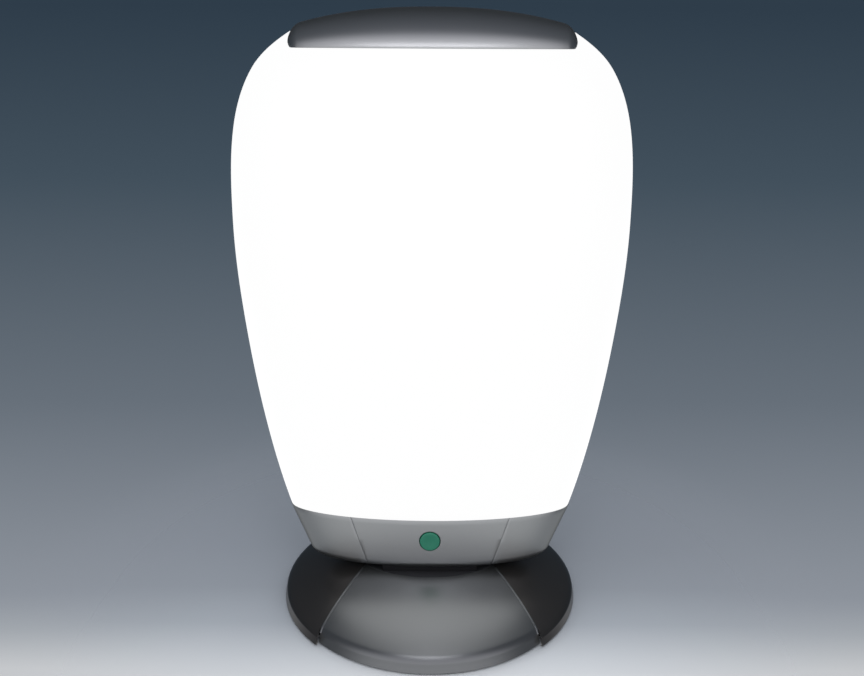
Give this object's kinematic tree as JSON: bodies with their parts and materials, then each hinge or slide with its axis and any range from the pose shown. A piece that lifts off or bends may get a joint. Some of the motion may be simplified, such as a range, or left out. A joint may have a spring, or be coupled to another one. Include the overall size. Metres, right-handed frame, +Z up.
{
  "type": "light therapy lamp",
  "caption": "Free-standing light therapy lamp: a tall glowing opal shade between a silver cap and collar, on a wide round foot, with a push button and a head that tilts",
  "frame": {"origin": "middle of the foot's footprint, on the surface that it stands on", "axes": "+Z up, -Y towards the user (the side with the button), +X to the right for a user who faces the lamp"},
  "size_m": [0.3222, 0.2596, 0.5051],
  "materials": {
    "silver_coat": "satin silver-grey metallic coat on moulded plastic",
    "graphite_coat": "satin graphite metallic coat on moulded plastic",
    "charcoal_coat": "satin charcoal metallic coat on moulded plastic",
    "black_plastic": "fine matt moulded plastic",
    "opal_acrylic": "smooth opal acrylic, lit evenly from inside",
    "white_plastic": "satin white moulded plastic",
    "green_plastic": "satin green moulded plastic",
    "black_rubber": "soft black rubber",
    "zinc_steel": "zinc-plated steel",
    "white_painted_steel": "white baked enamel",
    "raw_iron": "plain cast iron",
    "bright_aluminium": "bright rolled aluminium",
    "nickel_brass": "nickel-plated brass",
    "nylon": "natural nylon",
    "lamp_glass": "phosphor-coated lamp glass"
  },
  "bodies": {
    "foot": {"rubber_feet": "black_rubber", "base_plate": "black_plastic", "base_screws": "zinc_steel", "ballast_weight": "raw_iron", "foot_front_panel": "graphite_coat", "foot_side_cover": "charcoal_coat", "neck_tray": "black_plastic", "tilt_bracket": "zinc_steel", "bracket_screws": "zinc_steel", "hinge_pin": "zinc_steel", "friction_washers": "nylon", "spring_washer": "zinc_steel", "hinge_nut": "zinc_steel"},
    "head": {"neck_barrel": "black_plastic", "head_yoke": "zinc_steel", "collar_shell": "silver_coat", "collar_fascia": "silver_coat", "button_spring": "zinc_steel", "power_switch": "black_plastic", "switch_bracket": "zinc_steel", "front_diffuser": "opal_acrylic", "rear_housing": "white_plastic", "housing_screws": "zinc_steel", "top_cap": "silver_coat", "chassis_plate": "zinc_steel", "reflector": "bright_aluminium", "lamp_clips": "zinc_steel", "electronic_driver": "white_painted_steel", "terminal_block": "nylon", "power_inlet": "black_plastic", "inlet_pins": "nickel_brass", "lamp_tube_left": "lamp_glass", "lamp_tube_right": "lamp_glass", "lamp_base_left": "white_plastic", "lamp_base_right": "white_plastic", "lamp_holder_left": "white_plastic", "lamp_holder_right": "white_plastic"},
    "button": {"power_button": "green_plastic"}
  },
  "joints": [
    {"name": "head_tilt", "type": "hinge", "parent": "foot", "child": "head", "pos_m": [0, 0, 0.026], "axis": [-1, 0, 0], "range_deg": [-5, 7]},
    {"name": "button_press", "type": "slide", "parent": "head", "child": "button", "axis": [0, 1, 0], "range_m": [0, 0.002], "stiffness_N_per_m": 900, "springref_m": -0.0015, "deforming": ["button_spring"]}
  ]
}
